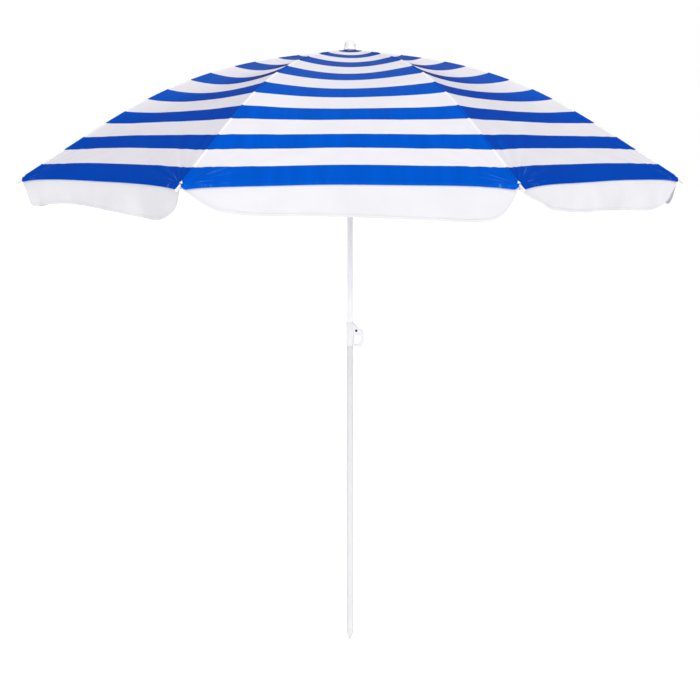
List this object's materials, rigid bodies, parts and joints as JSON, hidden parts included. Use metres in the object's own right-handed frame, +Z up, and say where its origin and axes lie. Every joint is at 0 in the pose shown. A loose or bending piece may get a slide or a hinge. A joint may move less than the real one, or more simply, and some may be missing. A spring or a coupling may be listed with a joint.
{
  "type": "beach umbrella",
  "caption": "Beach umbrella with a striped, panelled canopy and hanging valance on folding ribs, and a two-part telescoping pole with a lever lock and ground spike.",
  "frame": {"origin": "the point of the ground spike, on the pole's axis", "axes": "+Z up along the pole, +X through the lock lever, -Y faces the viewer, in the middle of a canopy panel"},
  "size_m": [1.8884, 1.8884, 2.0655],
  "materials": {
    "canopy_cloth": "woven polyester, printed in blue and white bands",
    "valance_cloth": "woven polyester, white",
    "white_tube": "gloss white powder coat",
    "white_rod": "white dip coating",
    "white_moulding": "moulded, slight gloss",
    "bare_steel": "zinc plated",
    "grey_pad": "matte"
  },
  "bodies": {
    "lower_pole": {"lower_pole": "white_tube", "ground_spike": "white_moulding", "spike_pin": "bare_steel", "lock_collar": "white_moulding", "lock_shoe": "grey_pad", "lock_pin": "bare_steel"},
    "lock_lever": {"lock_lever": "white_moulding"},
    "upper_pole": {"upper_pole": "white_tube", "pole_bush": "white_moulding", "crown": "white_moulding", "crown_wire": "bare_steel", "crown_pin": "bare_steel", "finial": "white_moulding", "canopy_washer": "white_moulding", "canopy_patch": "valance_cloth", "catch_pin": "bare_steel"},
    "runner_catch": {"runner_catch": "bare_steel"},
    "runner": {"runner": "white_moulding", "runner_wire": "bare_steel"},
    "rib_1": {"rib_1": "white_rod", "rib_tip_1": "white_moulding", "canopy_gore_1": "canopy_cloth", "valance_1": "valance_cloth"},
    "stretcher_1": {"stretcher_1": "white_rod"},
    "rib_2": {"rib_2": "white_rod", "rib_tip_2": "white_moulding", "canopy_gore_2": "canopy_cloth", "valance_2": "valance_cloth"},
    "stretcher_2": {"stretcher_2": "white_rod"},
    "rib_3": {"rib_3": "white_rod", "rib_tip_3": "white_moulding", "canopy_gore_3": "canopy_cloth", "valance_3": "valance_cloth"},
    "stretcher_3": {"stretcher_3": "white_rod"},
    "rib_4": {"rib_4": "white_rod", "rib_tip_4": "white_moulding", "canopy_gore_4": "canopy_cloth", "valance_4": "valance_cloth"},
    "stretcher_4": {"stretcher_4": "white_rod"},
    "rib_5": {"rib_5": "white_rod", "rib_tip_5": "white_moulding", "canopy_gore_5": "canopy_cloth", "valance_5": "valance_cloth"},
    "stretcher_5": {"stretcher_5": "white_rod"},
    "rib_6": {"rib_6": "white_rod", "rib_tip_6": "white_moulding", "canopy_gore_6": "canopy_cloth", "valance_6": "valance_cloth"},
    "stretcher_6": {"stretcher_6": "white_rod"},
    "rib_7": {"rib_7": "white_rod", "rib_tip_7": "white_moulding", "canopy_gore_7": "canopy_cloth", "valance_7": "valance_cloth"},
    "stretcher_7": {"stretcher_7": "white_rod"},
    "rib_8": {"rib_8": "white_rod", "rib_tip_8": "white_moulding", "canopy_gore_8": "canopy_cloth", "valance_8": "valance_cloth"},
    "stretcher_8": {"stretcher_8": "white_rod"}
  },
  "joints": [
    {"name": "pole_slide", "type": "slide", "parent": "lower_pole", "child": "upper_pole", "axis": [0, 0, 1], "range_m": [-0.05, 0.15], "stiffness_N_per_m": 500, "springref_m": 0.04638},
    {"name": "lever_open", "type": "hinge", "parent": "lower_pole", "child": "lock_lever", "pos_m": [0.021, 0, 1.138], "axis": [0, -1, 0], "range_deg": [0, 90]},
    {"name": "catch_press", "type": "hinge", "parent": "upper_pole", "child": "runner_catch", "pos_m": [0, -0.003, 1.78956], "axis": [-1, 0, 0], "range_deg": [0, 4.6]},
    {"name": "rib_1_fold", "type": "hinge", "parent": "upper_pole", "child": "rib_1", "pos_m": [0.02032, 0.00842, 2.02961], "axis": [-0.3827, 0.9239, 0], "range_deg": [0, 67], "deforming": ["runner_catch", "canopy_gore_1", "valance_1", "canopy_gore_2", "valance_2", "canopy_gore_3", "valance_3", "canopy_gore_4", "valance_4", "canopy_gore_5", "valance_5", "canopy_gore_6", "valance_6", "canopy_gore_7", "valance_7", "canopy_gore_8", "valance_8"]},
    {"name": "stretcher_1_swing", "type": "hinge", "parent": "rib_1", "child": "stretcher_1", "pos_m": [0.36401, 0.15078, 1.95788], "axis": [-0.3827, 0.9239, 0], "range_deg": [-134, 0]},
    {"name": "rib_2_fold", "type": "hinge", "parent": "upper_pole", "child": "rib_2", "pos_m": [0.00842, 0.02032, 2.02961], "axis": [-0.9239, 0.3827, 0], "range_deg": [0, 67]},
    {"name": "stretcher_2_swing", "type": "hinge", "parent": "rib_2", "child": "stretcher_2", "pos_m": [0.15078, 0.36401, 1.95788], "axis": [-0.9239, 0.3827, 0], "range_deg": [-134, 0]},
    {"name": "rib_3_fold", "type": "hinge", "parent": "upper_pole", "child": "rib_3", "pos_m": [-0.00842, 0.02032, 2.02961], "axis": [-0.9239, -0.3827, 0], "range_deg": [0, 67]},
    {"name": "stretcher_3_swing", "type": "hinge", "parent": "rib_3", "child": "stretcher_3", "pos_m": [-0.15078, 0.36401, 1.95788], "axis": [-0.9239, -0.3827, 0], "range_deg": [-134, 0]},
    {"name": "rib_4_fold", "type": "hinge", "parent": "upper_pole", "child": "rib_4", "pos_m": [-0.02032, 0.00842, 2.02961], "axis": [-0.3827, -0.9239, 0], "range_deg": [0, 67]},
    {"name": "stretcher_4_swing", "type": "hinge", "parent": "rib_4", "child": "stretcher_4", "pos_m": [-0.36401, 0.15078, 1.95788], "axis": [-0.3827, -0.9239, 0], "range_deg": [-134, 0]},
    {"name": "rib_5_fold", "type": "hinge", "parent": "upper_pole", "child": "rib_5", "pos_m": [-0.02032, -0.00842, 2.02961], "axis": [0.3827, -0.9239, 0], "range_deg": [0, 67]},
    {"name": "stretcher_5_swing", "type": "hinge", "parent": "rib_5", "child": "stretcher_5", "pos_m": [-0.36401, -0.15078, 1.95788], "axis": [0.3827, -0.9239, 0], "range_deg": [-134, 0]},
    {"name": "rib_6_fold", "type": "hinge", "parent": "upper_pole", "child": "rib_6", "pos_m": [-0.00842, -0.02032, 2.02961], "axis": [0.9239, -0.3827, 0], "range_deg": [0, 67]},
    {"name": "stretcher_6_swing", "type": "hinge", "parent": "rib_6", "child": "stretcher_6", "pos_m": [-0.15078, -0.36401, 1.95788], "axis": [0.9239, -0.3827, 0], "range_deg": [-134, 0]},
    {"name": "rib_7_fold", "type": "hinge", "parent": "upper_pole", "child": "rib_7", "pos_m": [0.00842, -0.02032, 2.02961], "axis": [0.9239, 0.3827, 0], "range_deg": [0, 67]},
    {"name": "stretcher_7_swing", "type": "hinge", "parent": "rib_7", "child": "stretcher_7", "pos_m": [0.15078, -0.36401, 1.95788], "axis": [0.9239, 0.3827, 0], "range_deg": [-134, 0]},
    {"name": "rib_8_fold", "type": "hinge", "parent": "upper_pole", "child": "rib_8", "pos_m": [0.02032, -0.00842, 2.02961], "axis": [0.3827, 0.9239, 0], "range_deg": [0, 67]},
    {"name": "stretcher_8_swing", "type": "hinge", "parent": "rib_8", "child": "stretcher_8", "pos_m": [0.36401, -0.15078, 1.95788], "axis": [0.3827, 0.9239, 0], "range_deg": [-134, 0]},
    {"name": "runner_level", "type": "hinge", "parent": "stretcher_1", "child": "runner", "pos_m": [0.02032, 0.00842, 1.88616], "axis": [-0.3827, 0.9239, 0], "range_deg": [0, 67]}
  ],
  "couplings": [
    {"joint": "stretcher_1_swing", "follows": "rib_1_fold", "ratio": -2},
    {"joint": "rib_2_fold", "follows": "rib_1_fold", "ratio": 1},
    {"joint": "stretcher_2_swing", "follows": "rib_1_fold", "ratio": -2},
    {"joint": "rib_3_fold", "follows": "rib_1_fold", "ratio": 1},
    {"joint": "stretcher_3_swing", "follows": "rib_1_fold", "ratio": -2},
    {"joint": "rib_4_fold", "follows": "rib_1_fold", "ratio": 1},
    {"joint": "stretcher_4_swing", "follows": "rib_1_fold", "ratio": -2},
    {"joint": "rib_5_fold", "follows": "rib_1_fold", "ratio": 1},
    {"joint": "stretcher_5_swing", "follows": "rib_1_fold", "ratio": -2},
    {"joint": "rib_6_fold", "follows": "rib_1_fold", "ratio": 1},
    {"joint": "stretcher_6_swing", "follows": "rib_1_fold", "ratio": -2},
    {"joint": "rib_7_fold", "follows": "rib_1_fold", "ratio": 1},
    {"joint": "stretcher_7_swing", "follows": "rib_1_fold", "ratio": -2},
    {"joint": "rib_8_fold", "follows": "rib_1_fold", "ratio": 1},
    {"joint": "stretcher_8_swing", "follows": "rib_1_fold", "ratio": -2},
    {"joint": "runner_level", "follows": "rib_1_fold", "ratio": 1}
  ]
}
